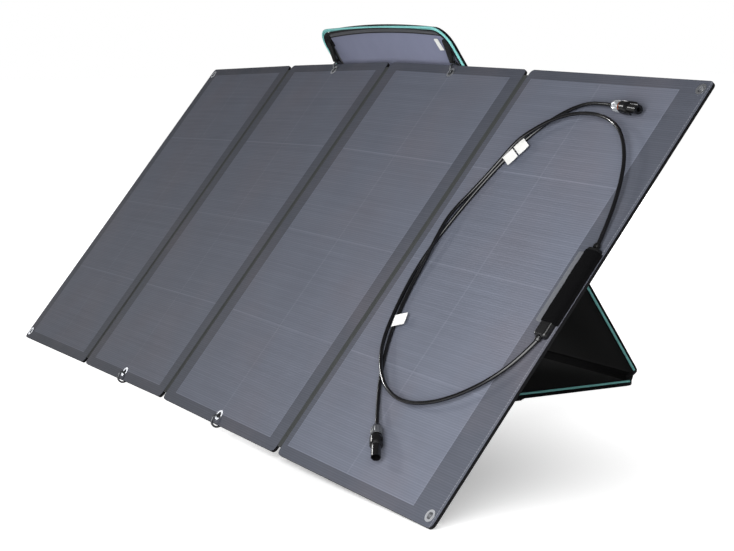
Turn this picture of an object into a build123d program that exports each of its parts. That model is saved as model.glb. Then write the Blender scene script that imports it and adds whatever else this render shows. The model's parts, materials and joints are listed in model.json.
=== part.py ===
"""Solar suitcase kit: a four-leaf folding solar panel, leant on its own opened carry case."""

import os
from math import asin, atan2, cos, degrees, hypot, pi, radians, sin, sqrt, tan

from build123d import *

os.makedirs("parts", exist_ok=True)

# ---- driving dimensions (mm, degrees) ----

# leaves of the panel
leaf_height = 680.0
fold_pitch = 392.5  # from one fold line to the next
fold_gap = 12.0  # free fabric between two stiff leaves
right_leaf_width = 396.0  # from its fold line to its free edge
left_leaf_width = 387.0
leaf_corner = 8.0
leaf_back_cloth = 0.8
leaf_board = 2.6
leaf_sheet = 1.6
hinge_cloth = 1.2
hinge_inset = 10.0  # the notch left at each end of a fold
joint_gap = 0.3

# stance
tilt = 51.38  # slope of the panel above the floor
centre_sag = 2.02  # how far each half leans back at the centre fold
outer_sag = 0.6  # how far each outer leaf leans back at its fold
foot_reach = 797.0  # floor distance from the panel's lower edge to the spine hinge
lean_gap = 0.8  # between the panel's upper edge and the case rim

# solar cells
cell_size = 158.75
cell_corner = 8.0
cell_gap = 3.0
cell_thick = 0.4
cell_columns = 2
cell_rows = 4
cell_start = 36.0  # fold line to the first cell
right_cell_start = 20.0

# eyelets
eyelet_bore = 5.0
eyelet_barrel = 6.0
eyelet_flange = 8.5
eyelet_proud = 0.7
eyelet_edge = 14.0  # eyelet centre to the leaf's upper or lower edge
lower_eyelet_side = 14.0  # eyelet centre to the free side edge
upper_eyelet_side = 15.0
eyelet_fit = 0.05

# carry case
case_width = 412.0
case_length = 724.0
case_depth = 12.0  # of each half
case_corner = 32.0
case_arch = 8.0  # rise of the far edge at its middle
case_heel = 18.0  # corner radius beside the spine
case_cloth = 1.4
case_board = 2.2
case_lining = 0.8
case_wall = 1.6
board_margin = 8.0
piping_radius = 2.0
piping_drop = 0.1  # below the rim
sewing_gap = 0.1
spine_cloth = 1.4
spine_width = 370.0
spine_gap = 0.4
zip_tape_thick = 0.8
zip_tape_height = 6.4
zip_tape_low = 1.2  # above the half's outer face
zip_end_gap = 40.0  # tape stops this far from the spine

# snap hooks and their webbing ties
ring_radius = 9.0
ring_wire = 1.6
gate_pivot = 325.0  # degrees round the ring from the eye
gate_nose = 238.0
nose_root = 200.0
gate_boss = 2.0
gate_fit = 0.12
gate_swing = 13.35  # reach of the gate's curved end from its pivot
nose_gap = 0.25
hook_neck = 5.0
eye_length = 9.0
eye_width = 15.0
eye_thick = 2.4
eye_bar = 2.2
web_width = 10.0
web_thick = 1.2
web_bend = 1.9
web_tab = 14.0
tie_place = 196.0  # tie to the centre fold
top_anchor = 694.0  # along the rear half, from the spine hinge
open_tie_gap = 0.5

# carry handle
handle_span = 228.0
handle_reach = 61.0
handle_band = 22.0
handle_thick = 9.0
handle_round = 3.0
handle_lift = 0.4
handle_bore = 2.1
handle_pin = 2.05
handle_barrel = 4.5
lug_thick = 4.0
lug_wall = 0.8
lug_gap = 0.3

# zip slider
slider_length = 13.0
slider_wall = 1.4
slider_fit = 0.5
pull_length = 26.0
pull_width = 7.0
pull_thick = 1.6

# junction box on the right leaf
box_centre = 380.0  # from the fold line
box_bottom = 274.0
box_top = 410.0
box_width = 22.0
box_base = 4.5
box_lid = 4.8
box_corner = 5.0
gland_axis = 5.0  # above the leaf
gland_length = 6.0
gland_radius = 4.6
gland_nose = 3.8
wrap_bottom = 295.0
wrap_top = 404.0
wrap_thick = 1.4
wrap_fit = 0.3
wrap_flap = 22.0
wrap_hem = 3.2

# leads and connectors
lead_radius = 2.75
male_length = 62.0
female_length = 62.0
connector_radius = 9.2
connector_nut = 22.0
grip_grooves = 12

# blank labels on the leads, and the blank tag on a tie
label_length = 19.0
label_width = 25.0
label_thick = 0.4
label_gap = 0.1
tag_width = 9.0
tag_height = 18.0
tag_side = 13.0
tag_drop = 8.0
tag_lift = 0.2

leaf_thick = leaf_back_cloth + leaf_board + leaf_sheet

# ---- frames ----

half_base = case_length / 2
slope_up = Vector(0, cos(radians(tilt)), sin(radians(tilt)))
slope_out = Vector(0, -sin(radians(tilt)), cos(radians(tilt)))


def leaned(angle):
    """Direction across a leaf that leans back by this angle, for the right half."""
    return Vector(1, 0, 0) * cos(radians(angle)) - slope_out * sin(radians(angle))


def mirrored(direction):
    return Vector(-direction.X, direction.Y, direction.Z)


across_3 = leaned(centre_sag)
across_4 = leaned(centre_sag + outer_sag)
across_2 = -mirrored(across_3)
across_1 = -mirrored(across_4)


def leaf_plane(origin, across):
    return Plane(origin=origin, x_dir=across, z_dir=across.cross(slope_up))


# the outer leaves' lower corners stand on the floor, and the centre fold is higher by their lean
corner_drop = fold_pitch * sin(radians(centre_sag)) + right_leaf_width * sin(radians(centre_sag + outer_sag))
centre_height = (corner_drop + leaf_thick) * cos(radians(tilt)) + 0.2
centre_foot = Vector(0, half_base - foot_reach, centre_height)
plane_3 = leaf_plane(centre_foot, across_3)
plane_4 = leaf_plane(centre_foot + across_3 * fold_pitch, across_4)
plane_2 = leaf_plane(centre_foot, across_2)
plane_1 = leaf_plane(centre_foot - across_2 * fold_pitch, across_1)

# spine hinge, and the rear half's direction, which just clears the panel's upper edge at its side
hinge = Vector(0, half_base, case_depth)
touch = plane_3.from_local_coords(Vector(case_width / 2, leaf_height, -leaf_thick))
touch_reach = hypot(half_base - touch.Y, touch.Z - case_depth)
rear_slope = degrees(atan2(touch.Z - case_depth, half_base - touch.Y) + asin(lean_gap / touch_reach))
rear_up = Vector(0, -cos(radians(rear_slope)), sin(radians(rear_slope)))

# a case half is drawn with X across, Y away from the spine and Z out of its open side
base_plane = Plane(origin=(0, half_base, 0), x_dir=(-1, 0, 0), z_dir=(0, 0, 1))
rear_out = Vector(1, 0, 0).cross(rear_up)
rear_plane = Plane(origin=hinge - rear_out * case_depth, x_dir=(1, 0, 0), z_dir=rear_out)


def finish(shape, name):
    shape.label = name
    export_step(shape, f"parts/{name}.step")
    return shape


# ---- leaves ----


def leaf_outline(left, right):
    """A leaf's rounded outline in its own plane."""
    with Locations(((left + right) / 2, leaf_height / 2)):
        RectangleRounded(right - left, leaf_height, leaf_corner)


def leaf_layer(plane, left, right, bottom, thick, eyelets, pockets=None):
    """One layer of a leaf, pierced for its eyelets; pockets is the first cell's side if cells sit in its top."""
    with BuildPart() as layer:
        with BuildSketch(plane.offset(bottom)):
            leaf_outline(left, right)
            with Locations(*eyelets):
                Circle(eyelet_barrel + eyelet_fit, mode=Mode.SUBTRACT)
        extrude(amount=thick)
        if pockets is not None:
            with BuildSketch(plane.offset(bottom + thick)):
                cell_grid(pockets, cell_gap / 6)
            extrude(amount=-cell_thick, mode=Mode.SUBTRACT)
    return layer.part


def cell_grid(start, grow=0.0):
    """Pseudo-square cells in two columns and four rows."""
    pitch = cell_size + cell_gap
    centre_x = start + (cell_columns * pitch - cell_gap) / 2
    with Locations((centre_x, leaf_height / 2)):
        with GridLocations(pitch, pitch, cell_columns, cell_rows):
            side = cell_size + 2 * grow
            half = side / 2
            cut = cell_corner
            Polygon(
                (half - cut, -half),
                (half, cut - half),
                (half, half - cut),
                (half - cut, half),
                (cut - half, half),
                (-half, half - cut),
                (-half, cut - half),
                (cut - half, -half),
                align=None,
            )


def leaf_cells(plane, bottom, start):
    with BuildPart() as cells:
        with BuildSketch(plane.offset(bottom)):
            cell_grid(start)
        extrude(amount=cell_thick)
    return cells.part


def leaf_eyelets(plane, eyelets):
    """Flanged metal eyelets through the whole leaf."""
    with BuildPart() as rings:
        with BuildSketch(plane.offset(-leaf_thick - eyelet_proud)):
            with Locations(*eyelets):
                Circle(eyelet_flange)
                Circle(eyelet_bore, mode=Mode.SUBTRACT)
        extrude(amount=eyelet_proud)
        with BuildSketch(plane.offset(-leaf_thick)):
            with Locations(*eyelets):
                Circle(eyelet_barrel)
                Circle(eyelet_bore, mode=Mode.SUBTRACT)
        extrude(amount=leaf_thick)
        with BuildSketch(plane):
            with Locations(*eyelets):
                Circle(eyelet_flange)
                Circle(eyelet_bore, mode=Mode.SUBTRACT)
        extrude(amount=eyelet_proud)
    return rings.part


high = leaf_height - eyelet_edge
low = eyelet_edge
half_gap = fold_gap / 2
inner_width = fold_pitch - half_gap
corner_eyelets = [(lower_eyelet_side, low), (upper_eyelet_side, high)]
leaves = {
    1: (plane_1, -left_leaf_width, -half_gap, [(side - left_leaf_width, y) for side, y in corner_eyelets]),
    2: (plane_2, -inner_width, -half_gap, [(-tie_place, y) for y in (low, high)]),
    3: (plane_3, half_gap, inner_width, [(tie_place, y) for y in (low, high)]),
    4: (plane_4, half_gap, right_leaf_width, [(right_leaf_width - side, y) for side, y in corner_eyelets]),
}
cell_span = cell_columns * (cell_size + cell_gap) - cell_gap
cell_starts = {1: -cell_start - cell_span, 2: -cell_start - cell_span, 3: cell_start, 4: right_cell_start}
board_bottom = leaf_back_cloth - leaf_thick
sheet_bottom = -leaf_sheet

for number, (plane, left, right, eyelets) in leaves.items():
    start = cell_starts[number]
    finish(leaf_layer(plane, left, right, -leaf_thick, leaf_back_cloth, eyelets), f"leaf_{number}_back_cloth")
    finish(leaf_layer(plane, left, right, board_bottom, leaf_board, eyelets, start), f"leaf_{number}_board")
    finish(leaf_cells(plane, sheet_bottom - cell_thick, start), f"leaf_{number}_cells")
    finish(leaf_layer(plane, left, right, sheet_bottom, leaf_sheet, eyelets), f"leaf_{number}_front_sheet")
    finish(leaf_eyelets(plane, eyelets), f"leaf_{number}_eyelets")


def fold_strip(plane_left, plane_right, at_left, at_right):
    """Flexible cloth across a fold, between the stiff leaves' edges, near their front faces."""
    reach = half_gap - joint_gap
    corner = plane_left.from_local_coords(Vector(at_left - reach, 0, 0))
    other = plane_right.from_local_coords(Vector(at_right + reach, 0, 0))
    across = (other - corner).normalized()
    plane = leaf_plane(corner, across)
    length = (other - corner).length
    with BuildPart() as strip:
        with BuildSketch(plane.offset(-hinge_cloth)):
            with Locations((length / 2, leaf_height / 2)):
                RectangleRounded(length, leaf_height - 2 * hinge_inset, length / 3)
        extrude(amount=hinge_cloth)
    return strip.part


finish(fold_strip(plane_1, plane_2, 0, -fold_pitch), "fold_cloth_left")
finish(fold_strip(plane_2, plane_3, 0, 0), "fold_cloth_centre")
finish(fold_strip(plane_3, plane_4, fold_pitch, 0), "fold_cloth_right")

# ---- carry case ----


def case_outline(inset=0.0, heel_cut=0.0):
    """One half's outline seen from its open side: square-cornered beside the spine, round at the far end."""
    half = case_width / 2 - inset
    far = case_length - case_arch - inset
    near = heel_cut
    big = case_corner - inset
    small = case_heel - min(inset, case_heel / 2)
    with BuildLine(Plane.XY) as outline:
        Line((-half + small, near), (half - small, near))
        RadiusArc((half - small, near), (half, near + small), -small)
        Line((half, near + small), (half, far - big))
        RadiusArc((half, far - big), (half - big, far), -big)
        ThreePointArc((half - big, far), (0, far + case_arch), (-half + big, far))
        RadiusArc((-half + big, far), (-half, far - big), -big)
        Line((-half, far - big), (-half, near + small))
        RadiusArc((-half, near + small), (-half + small, near), -small)
    make_face(outline.edges())


def case_shell(plane):
    """Outer cloth of one half: a shallow tray, open beside the spine."""
    with BuildPart() as shell:
        with BuildSketch(plane):
            case_outline()
        extrude(amount=case_depth)
        with BuildSketch(plane.offset(case_cloth)):
            case_outline(case_wall, case_wall)
        extrude(amount=case_depth, mode=Mode.SUBTRACT)
        with BuildSketch(plane.offset(case_cloth)):
            Rectangle(spine_width, 4 * case_wall)
        extrude(amount=case_depth, mode=Mode.SUBTRACT)
    return shell.part


def case_sheet(plane, bottom, thick, inset):
    """A flat sheet inside one half: its stiffener or its lining."""
    with BuildPart() as sheet:
        with BuildSketch(plane.offset(bottom)):
            case_outline(inset, inset)
        extrude(amount=thick)
    return sheet.part


def rim_line(plane, outset, height, start):
    """A line round one half outside its wall, from beside the spine over the far end and back."""
    half = case_width / 2 + outset
    far = case_length - case_arch + outset
    big = case_corner + outset
    with BuildLine(plane.offset(height)) as rim:
        Line((half, start), (half, far - big))
        RadiusArc((half, far - big), (half - big, far), -big)
        ThreePointArc((half - big, far), (0, far + case_arch), (-half + big, far))
        RadiusArc((-half + big, far), (-half, far - big), -big)
        Line((-half, far - big), (-half, start))
    return rim.line


def case_piping(plane):
    """Round cord sewn along the rim."""
    outset = zip_tape_thick + sewing_gap + piping_radius
    rim = rim_line(plane, outset, case_depth - piping_drop - piping_radius, case_heel)
    with BuildPart() as piping:
        with BuildSketch(Plane(origin=rim @ 0, z_dir=rim % 0)):
            Circle(piping_radius)
        sweep(path=rim)
    return piping.part


def zip_half(plane):
    """Zip tape sewn outside the wall below the piping."""
    outset = zip_tape_thick / 2 + sewing_gap / 2
    rim = rim_line(plane, outset, zip_tape_low + zip_tape_height / 2, zip_end_gap)
    with BuildPart() as tape:
        with BuildSketch(Plane(origin=rim @ 0, x_dir=plane.z_dir, z_dir=rim % 0)):
            Rectangle(zip_tape_height, zip_tape_thick)
        sweep(path=rim, transition=Transition.ROUND)
    return tape.part


boards_bottom = case_cloth
lining_bottom = case_cloth + case_board
for half_name, plane in (("rear", rear_plane), ("base", base_plane)):
    finish(case_shell(plane), f"case_{half_name}_shell")
    finish(case_sheet(plane, boards_bottom, case_board, board_margin), f"case_{half_name}_board")
    finish(case_sheet(plane, lining_bottom, case_lining, case_wall + 0.4), f"case_{half_name}_lining")
    finish(case_piping(plane), f"case_{half_name}_piping")
    finish(zip_half(plane), f"case_{half_name}_zip_tape")

# spine cloth: an arc about the hinge line, from the base half's underside to the rear half's back
spine_start = -90 + 2.0
spine_end = 90 - rear_slope - 2.0
with BuildPart() as spine:
    with BuildSketch(Plane(origin=(-spine_width / 2, half_base, case_depth), x_dir=(0, 1, 0), z_dir=(1, 0, 0))):
        with BuildLine():
            outer = CenterArc((0, 0), case_depth, spine_start, spine_end - spine_start)
            inner = CenterArc((0, 0), case_depth - spine_cloth, spine_start, spine_end - spine_start)
            Line(outer @ 0, inner @ 0)
            Line(outer @ 1, inner @ 1)
        make_face()
    extrude(amount=spine_width)
finish(spine.part, "case_spine_cloth")

# ---- ties: snap hook, spring gate and webbing ----


def tie_frame(centre, anchor):
    """X from the ring's centre to the anchor, Z along the world's X, through the ring."""
    return Plane(origin=centre, x_dir=(anchor - centre).normalized(), z_dir=(1, 0, 0))


def ring_arc(frame, first, last):
    """Part of the hook's wire ring, between two angles from the eye."""
    with BuildLine(frame) as arc:
        CenterArc((0, 0), ring_radius, first, last - first)
    with BuildPart() as wire:
        with BuildSketch(Plane(origin=arc.line @ 0, z_dir=arc.line % 0)):
            Circle(ring_wire)
        sweep(path=arc.line)
    return wire.part


def pivot_of(frame):
    return frame.from_local_coords(Vector(ring_radius, 0, 0).rotate(Axis.Z, gate_pivot))


def snap_hook(frame):
    """Wire ring, open where the gate closes it, with the gate's boss and a flat eye for the webbing."""
    pivot = Plane(origin=pivot_of(frame), z_dir=frame.z_dir)
    with BuildPart() as nose:
        add(ring_arc(frame, nose_root, gate_nose))
        with BuildSketch(pivot.offset(-2 * ring_wire)):
            Circle(gate_swing + nose_gap)
        extrude(amount=4 * ring_wire, mode=Mode.SUBTRACT)
    with BuildPart() as hook:
        add(ring_arc(frame, gate_pivot, nose_root + 360))
        add(nose.part)
        with BuildSketch(pivot.offset(-ring_wire)):
            Circle(gate_boss)
        extrude(amount=2 * ring_wire)
        with BuildSketch(Plane(origin=frame.origin + frame.x_dir * ring_radius, z_dir=frame.x_dir)):
            Circle(ring_wire * 1.2)
        extrude(amount=hook_neck + eye_bar / 2)
        eye_start = frame.origin + frame.x_dir * (ring_radius + hook_neck)
        eye = Plane(origin=eye_start, x_dir=frame.x_dir, z_dir=frame.y_dir)
        with BuildSketch(eye.offset(-eye_thick / 2)):
            with Locations((eye_length / 2, 0)):
                RectangleRounded(eye_length, eye_width, 2.0)
            with Locations((eye_length / 2, 0)):
                Rectangle(eye_length - 2 * eye_bar, web_width + 0.8, mode=Mode.SUBTRACT)
        extrude(amount=eye_thick)
    return hook.part


def snap_gate(frame):
    """The sprung piece of wire that turns on the boss and meets the nose."""
    pivot = Plane(origin=pivot_of(frame), z_dir=frame.z_dir)
    with BuildPart() as gate:
        add(ring_arc(frame, nose_root, gate_pivot))
        with BuildSketch(pivot.offset(-2 * ring_wire)):
            Circle(gate_swing)
        extrude(amount=4 * ring_wire, mode=Mode.INTERSECT)
        with BuildSketch(pivot.offset(-2 * ring_wire)):
            Circle(gate_boss + gate_fit)
        extrude(amount=4 * ring_wire, mode=Mode.SUBTRACT)
    return gate.part


def webbing(frame, length, tab_plane=None):
    """A flat loop of webbing round the eye's outer bar, as long as the tie, with a sewn tab where it is anchored."""
    bar_at = ring_radius + hook_neck + eye_length - eye_bar / 2
    reach = length - bar_at
    outer = web_bend + web_thick
    with BuildPart() as web:
        with BuildSketch(frame.offset(-web_width / 2)):
            with Locations((bar_at + reach / 2 - outer / 2, 0)):
                SlotOverall(reach + outer, 2 * outer)
                SlotOverall(reach + outer - 2 * web_thick, 2 * web_bend, mode=Mode.SUBTRACT)
        extrude(amount=web_width)
        if tab_plane is not None:
            with BuildSketch(tab_plane):
                RectangleRounded(web_width, web_tab, 1.0)
            extrude(amount=web_thick)
    return web.part


def tie(name, frame, length, tab_plane=None):
    finish(snap_hook(frame), f"{name}_hook")
    finish(snap_gate(frame), f"{name}_gate")
    finish(webbing(frame, length, tab_plane), f"{name}_webbing")


ring_high = leaf_height - eyelet_edge + ring_radius
ring_low = eyelet_edge - ring_radius
lining_top = lining_bottom + case_lining
tab_lift = 0.3
for side, plane in ((1, plane_3), (-1, plane_2)):
    word = "right" if side > 0 else "left"
    # the upper tie goes to the rear half's lining
    centre = plane.from_local_coords(Vector(side * tie_place, ring_high, -leaf_thick / 2))
    anchor = rear_plane.from_local_coords(Vector(centre.X, top_anchor, lining_top + web_bend + web_thick + tab_lift))
    tab = Plane(
        origin=rear_plane.from_local_coords(Vector(centre.X, top_anchor - web_tab / 4, lining_top + tab_lift)),
        x_dir=(1, 0, 0),
        z_dir=rear_plane.z_dir,
    )
    tie(f"tie_top_{word}", tie_frame(centre, anchor), (anchor - centre).length, tab)
    # the lower tie stops just short of the base half's front wall
    centre = plane.from_local_coords(Vector(side * tie_place, ring_low, -leaf_thick / 2))
    front = Vector(centre.X, -half_base - open_tie_gap - piping_radius * 2 - zip_tape_thick, case_depth / 2)
    tie(f"tie_bottom_{word}", tie_frame(centre, front), (front - centre).length)

# ---- carry handle on the base half's right side ----

tape_face = case_width / 2 + sewing_gap / 2 + zip_tape_thick
handle_x = tape_face + sewing_gap + 2 * piping_radius + handle_barrel + 1.0
axis_height = handle_lift + handle_thick / 2
half_span = handle_span / 2
bow_radius = (half_span**2 + handle_reach**2) / (2 * handle_reach)
bow_middle = handle_reach - bow_radius
inner_half = sqrt((bow_radius - handle_band) ** 2 - bow_middle**2)
barrel_length = half_span - inner_half
with BuildPart() as handle:
    with BuildSketch(Plane(origin=(handle_x, 0, handle_lift))):
        with Locations((bow_middle, 0)):
            Circle(bow_radius)
            Circle(bow_radius - handle_band, mode=Mode.SUBTRACT)
        with Locations((-bow_radius, 0)):
            Rectangle(2 * bow_radius, 2 * bow_radius, mode=Mode.SUBTRACT)
    extrude(amount=handle_thick)
    long_edges = [edge for edge in handle.edges().filter_by(GeomType.CIRCLE) if edge.length > handle_span / 2]
    fillet(long_edges, handle_round)
    for side in (1, -1):
        # room for the inner lug through the whole swing
        inner_end = Plane(origin=(handle_x, side * inner_half, axis_height), x_dir=(1, 0, 0), z_dir=(0, -side, 0))
        with BuildSketch(inner_end):
            Rectangle(2 * (handle_bore + lug_wall + lug_gap), 2 * handle_thick)
        extrude(amount=lug_thick + 2 * lug_gap, mode=Mode.SUBTRACT)
        ends = Plane(origin=(handle_x, side * half_span, axis_height), x_dir=(1, 0, 0), z_dir=(0, -side, 0))
        with BuildSketch(ends):
            Circle(handle_barrel)
        extrude(amount=barrel_length)
        with BuildSketch(ends):
            Circle(handle_bore)
        extrude(amount=barrel_length, mode=Mode.SUBTRACT)
finish(handle.part, "handle_grip")

wall_x = tape_face + sewing_gap / 2
with BuildPart() as anchors:
    for side in (1, -1):
        for offset in (lug_gap, -barrel_length - lug_gap - lug_thick):
            along = half_span + offset
            lug = Plane(origin=(wall_x, side * along, axis_height), x_dir=(1, 0, 0), z_dir=(0, side, 0))
            with BuildSketch(lug):
                with Locations(((handle_x - wall_x) / 2, 0)):
                    Rectangle(handle_x - wall_x, 2 * (handle_bore + lug_wall))
                with Locations((handle_x - wall_x, 0)):
                    Circle(handle_bore + lug_wall)
            extrude(amount=lug_thick)
        pin = Plane(
            origin=(handle_x, side * (half_span + lug_gap + lug_thick), axis_height),
            x_dir=(1, 0, 0),
            z_dir=(0, -side, 0),
        )
        with BuildSketch(pin):
            Circle(handle_pin)
        extrude(amount=barrel_length + 2 * lug_gap + 2 * lug_thick)
finish(anchors.part, "handle_anchors")

# ---- zip slider on the base half's left side, near the spine ----

slider_y = half_base - zip_end_gap - slider_length
slider_height = zip_tape_low + zip_tape_height / 2
slider_x = -tape_face - slider_fit / 2
with BuildPart() as slider:
    with BuildSketch(Plane(origin=(slider_x, slider_y, slider_height), x_dir=(1, 0, 0), z_dir=(0, 1, 0))):
        with Locations((-1.6, 0)):
            RectangleRounded(3.2, 6.0, 1.0)
    extrude(amount=slider_length / 2, both=True)
    with BuildSketch(Plane(origin=(slider_x - 3.2, slider_y, slider_height), x_dir=(0, 1, 0), z_dir=(-1, 0, 0))):
        SlotOverall(8.0, 3.0)
    extrude(amount=3.0)
    with BuildSketch(Plane(origin=(slider_x - 4.9, slider_y, slider_height - 3), x_dir=(0, 1, 0), z_dir=(0, 0, 1))):
        Circle(1.0)
    extrude(amount=6.0, mode=Mode.SUBTRACT)
finish(slider.part, "zip_slider")

pull_x = slider_x - 4.9
with BuildPart() as pull:
    with BuildSketch(Plane(origin=(pull_x, slider_y, slider_height - 1.9), x_dir=(0, 1, 0), z_dir=(0, 0, 1))):
        Circle(0.9)
    extrude(amount=3.8)
    for side in (1, -1):
        with BuildSketch(Plane(origin=(pull_x, slider_y, slider_height + side * 1.9), x_dir=(0, -1, 0), z_dir=(0, 0, side))):
            with Locations((pull_length / 2 - 1, 0)):
                RectangleRounded(pull_length, 2.0, 0.9)
        extrude(amount=1.1)
    with BuildSketch(Plane(origin=(pull_x, slider_y - pull_length + 5, slider_height - 3.0), x_dir=(0, 1, 0), z_dir=(0, 0, 1))):
        RectangleRounded(10.0, 2.0, 0.9)
    extrude(amount=6.0)
finish(pull.part, "zip_pull")

# ---- junction box on the right leaf ----

box_middle = (box_bottom + box_top) / 2
box_length = box_top - box_bottom
with BuildPart() as box_tray:
    with BuildSketch(plane_4):
        with Locations((box_centre, box_middle)):
            RectangleRounded(box_width, box_length, box_corner)
    extrude(amount=box_base)
    with BuildSketch(plane_4.offset(2.0)):
        with Locations((box_centre, box_middle)):
            RectangleRounded(box_width - 4.0, box_length - 4.0, box_corner - 2.0)
    extrude(amount=box_base, mode=Mode.SUBTRACT)
finish(box_tray.part, "junction_tray")

with BuildPart() as box_cover:
    with BuildSketch(plane_4.offset(box_base)):
        with Locations((box_centre, box_middle)):
            RectangleRounded(box_width, box_length, box_corner)
    extrude(amount=box_lid)
    top_face = max(box_cover.faces(), key=lambda face: plane_4.to_local_coords(face.center()).Z)
    fillet(top_face.edges(), 3.4)
    with BuildSketch(plane_4.offset(box_base)):
        with Locations((box_centre, box_middle)):
            RectangleRounded(box_width - 4.0, box_length - 4.0, box_corner - 2.0)
    extrude(amount=box_lid - 2.4, mode=Mode.SUBTRACT)
finish(box_cover.part, "junction_lid")


hole = lead_radius + 0.3
with BuildPart() as glands:
    for at, direction in ((box_top, 1), (box_bottom, -1)):
        origin = plane_4.from_local_coords(Vector(box_centre, at, gland_axis))
        up = plane_4.y_dir * direction
        with BuildSketch(Plane(origin=origin, x_dir=plane_4.x_dir, z_dir=plane_4.x_dir.cross(up))):
            Polygon(
                (hole, 0.1),
                (gland_radius, 0.1),
                (gland_radius, gland_length * 0.55),
                (gland_nose, gland_length),
                (hole, gland_length),
                align=None,
            )
        revolve(axis=Axis(origin, up))
finish(glands.part, "junction_glands")

# sleeve over the box, sewn to the leaf by a wide flange on one side and a narrow hem on the other
over = box_base + box_lid + wrap_fit
inner_left = box_centre - box_width / 2 - wrap_fit
inner_right = box_centre + box_width / 2 + wrap_fit
outer_left = inner_left - wrap_thick
outer_right = inner_right + wrap_thick
with BuildPart() as wrap:
    cross_plane = Plane(
        origin=plane_4.from_local_coords(Vector(0, wrap_bottom, 0)),
        x_dir=plane_4.x_dir,
        z_dir=-plane_4.y_dir,
    )
    with BuildSketch(cross_plane):
        with BuildLine():
            Polyline(
                (inner_left - wrap_flap, wrap_fit),
                (inner_left, wrap_fit),
                (inner_left, over),
                (inner_right, over),
                (inner_right, wrap_fit),
                (outer_right + wrap_hem, wrap_fit),
                (outer_right + wrap_hem, wrap_fit + wrap_thick),
                (outer_right, wrap_fit + wrap_thick),
                (outer_right, over + wrap_thick),
                (outer_left, over + wrap_thick),
                (outer_left, wrap_fit + wrap_thick),
                (inner_left - wrap_flap, wrap_fit + wrap_thick),
                close=True,
            )
        make_face()
    extrude(amount=wrap_bottom - wrap_top)
finish(wrap.part, "junction_wrap")

# ---- leads and connectors, lying on the right leaf ----

# across from the fold line, up from the lower edge, height above the leaf
upper_lead = [
    (380, 416.2, 5.0),
    (376, 448, 7.5),
    (361, 499, 10.5),
    (336, 547, 12.5),
    (293, 588, 13.0),
    (240, 605, 13.0),
    (184, 604, 12.0),
    (142, 590, 10.5),
    (119, 574, 9.8),
    (97, 553, 9.4),
    (85, 534, 6.0),
    (73, 502, 3.4),
    (60, 459, 3.8),
    (53, 416, 9.6),
    (58, 374, 9.6),
    (62, 331, 6.0),
    (66, 288, 3.6),
    (76, 249, 3.4),
    (92, 209, 3.4),
    (117, 167, 3.4),
    (151, 127, 5.2),
    (191, 91, 9.4),
]
lower_lead = [
    (380, 267.8, 5.0),
    (371, 237, 6.5),
    (346, 199, 8.5),
    (307, 165, 9.5),
    (262, 142, 9.5),
    (214, 132, 9.5),
    (168, 139, 10.5),
    (128, 161, 9.8),
    (99, 190, 9.6),
    (78, 221, 6.5),
    (62, 259, 3.6),
    (50, 316, 3.4),
    (51, 372, 3.4),
    (60, 423, 3.4),
    (71, 473, 3.4),
    (87, 524, 3.4),
    (107, 565, 3.4),
    (134, 598, 3.4),
    (168, 621, 3.8),
    (207, 627, 7.4),
    (245, 623.5, 9.4),
]


def bend_radii(points):
    """The largest tangent arc at each inner point: 0.45 of the shorter run over the tangent of half the turn."""
    radii = []
    for before, here, after in zip(points, points[1:], points[2:]):
        turn = radians((here - before).get_angle(after - here))
        run = min((here - before).length, (after - here).length)
        radii.append(0.45 * run / tan(turn / 2))
    return radii


def lead(name, route):
    points = [plane_4.from_local_coords(Vector(*point)) for point in route]
    radii = bend_radii(points)
    with BuildPart() as cable:
        with BuildLine() as path:
            FilletPolyline(*points, radius=radii)
        with BuildSketch(Plane(origin=path.line @ 0, z_dir=path.line % 0)):
            Circle(lead_radius)
        sweep(path=path.line)
    length = path.wires()[0].length
    ratio = cable.part.volume / (pi * lead_radius**2 * length)
    print(name, "length", round(length), "radii", [round(radius) for radius in radii])
    print(name, "volume over section times length", round(ratio, 4))
    finish(cable.part, name)
    return points


upper_points = lead("lead_upper", upper_lead)
lower_points = lead("lead_lower", lower_lead)


def connector(points, length, mouth, prongs):
    """Single-pole lead connector on the lead's own axis: ribbed gland nut, waist, body and nose."""
    start = points[-1]
    along = (points[-1] - points[-2]).normalized()
    level = (plane_4.z_dir - along * plane_4.z_dir.dot(along)).normalized()
    radius = connector_radius
    collar = radius - 1.4
    nose = radius - 2.6
    body_end = length * 0.66
    with BuildPart() as plug:
        with BuildSketch(Plane(origin=start, x_dir=level, z_dir=level.cross(along))):
            Polygon(
                (0, 0.1),
                (lead_radius + 1.4, 0.1),
                (lead_radius + 2.2, 3.0),
                (collar - 0.8, 7.0),
                (collar, connector_nut - 1.0),
                (collar - 2.2, connector_nut),
                (collar - 2.2, connector_nut + 3.0),
                (radius - 0.4, connector_nut + 4.0),
                (radius, connector_nut + 6.0),
                (radius, body_end - 2.0),
                (radius - 1.0, body_end),
                (nose, body_end + 0.6),
                (nose, length),
                (mouth, length),
                (mouth, length - 12.0),
                (0, length - 12.0),
                align=None,
            )
        revolve(axis=Axis(start, along))
        # grip grooves round the nut
        with BuildSketch(Plane(origin=start + along * 8.0, x_dir=level, z_dir=along)):
            with PolarLocations(collar + 0.3, grip_grooves):
                Circle(0.9)
        extrude(amount=connector_nut - 10.0, mode=Mode.SUBTRACT)
        side = Plane(origin=start + along * body_end, x_dir=along, z_dir=level)
        if prongs:
            # two sprung arms that reach past the body on both sides of the nose
            with BuildSketch(side.offset(-2.2)):
                with Locations((1.0, radius - 0.6), (1.0, 0.6 - radius)):
                    RectangleRounded(20.0, 2.2, 0.9)
            extrude(amount=4.4)
        else:
            # two windows that take the other half's arms
            with BuildSketch(side.offset(-2.4)):
                with Locations((-7.0, radius - 0.5), (-7.0, 0.5 - radius)):
                    RectangleRounded(8.0, 3.4, 0.8)
            extrude(amount=4.8, mode=Mode.SUBTRACT)
    return plug.part


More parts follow.
